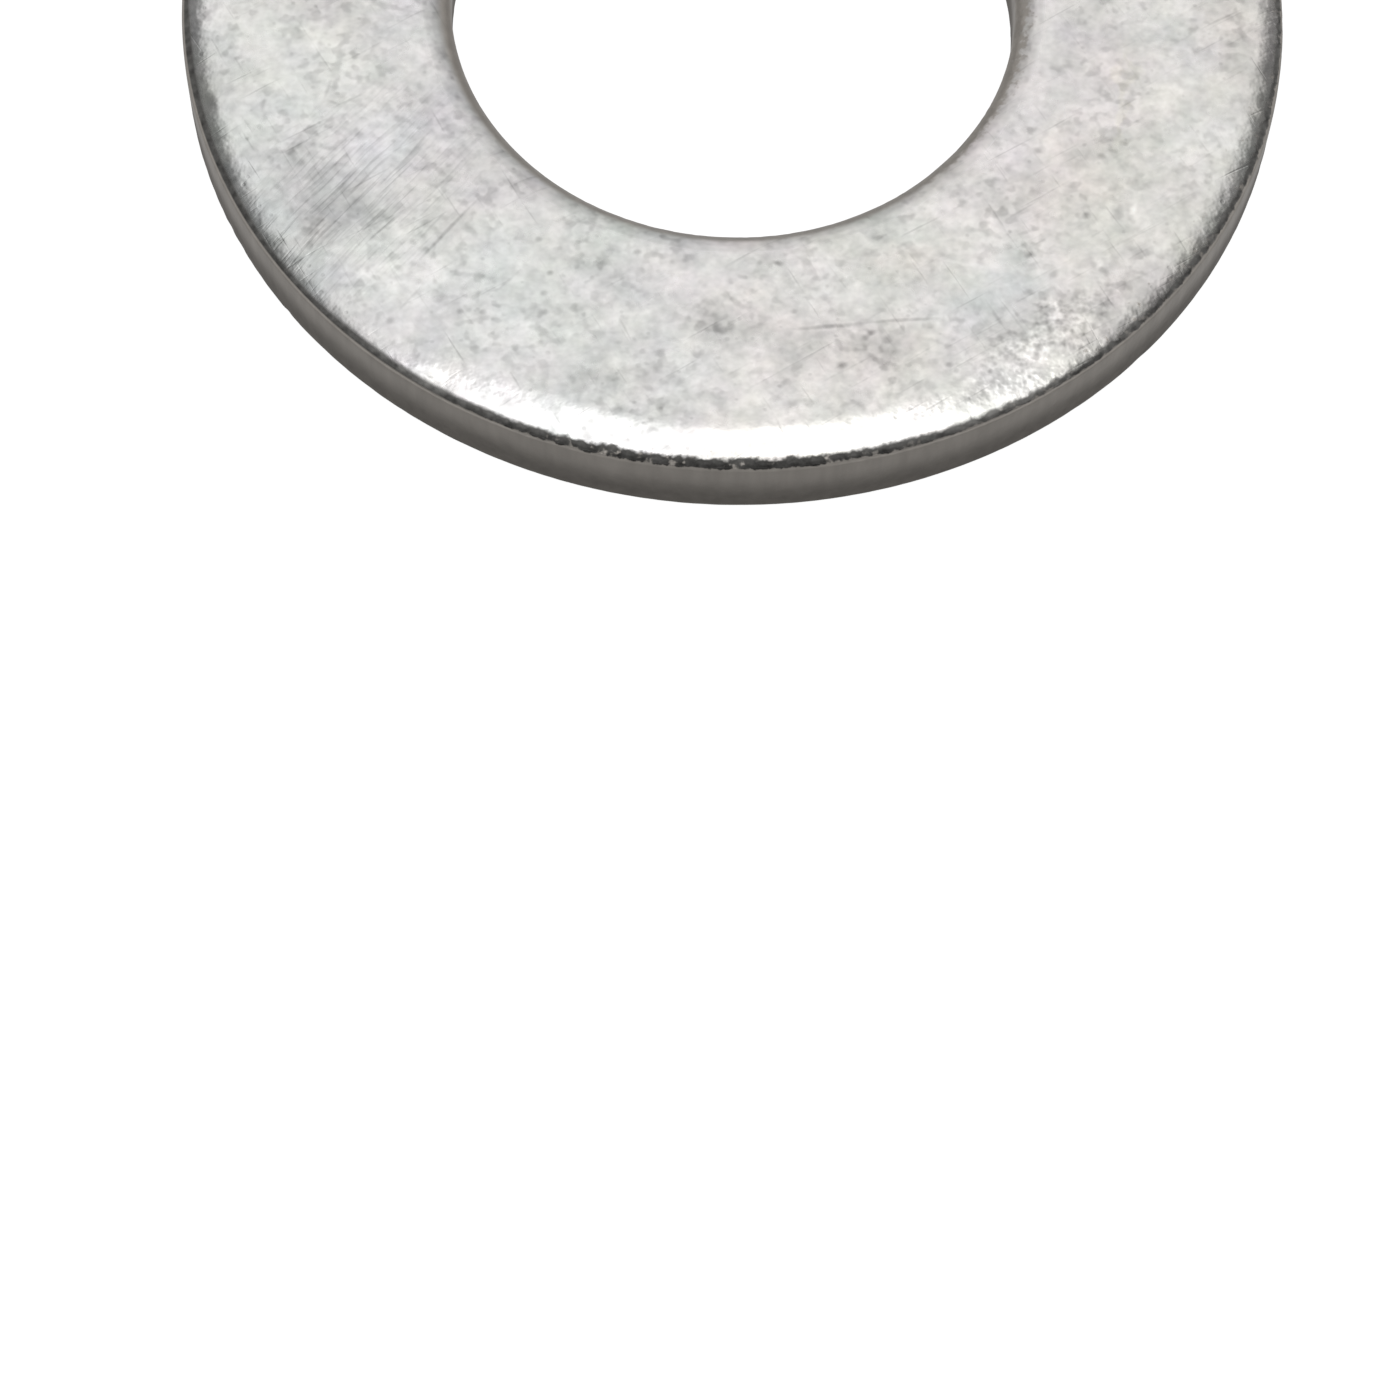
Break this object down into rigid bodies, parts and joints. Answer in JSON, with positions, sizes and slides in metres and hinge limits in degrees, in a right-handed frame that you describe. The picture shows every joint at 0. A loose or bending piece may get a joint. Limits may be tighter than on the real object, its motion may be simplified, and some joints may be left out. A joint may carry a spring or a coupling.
{
  "type": "flat washer",
  "caption": "Plain round flat washer stamped from steel: flat ring with rolled upper edges, sheared walls and a plain central hole that clears a bolt's shank.",
  "frame": {"origin": "on the hole's axis, in the plane of the bottom face", "axes": "+Z along the hole's axis, from the bottom face towards the top face with the rolled edges; the part is round, so X and Y are any two directions square to it"},
  "size_m": [0.0234, 0.0234, 0.0016],
  "materials": {
    "stamped_steel": "tumbled satin, bright faces with fine scratches and pits, darker sheared walls"
  },
  "bodies": {
    "root": {"washer": "stamped_steel"}
  },
  "joints": []
}
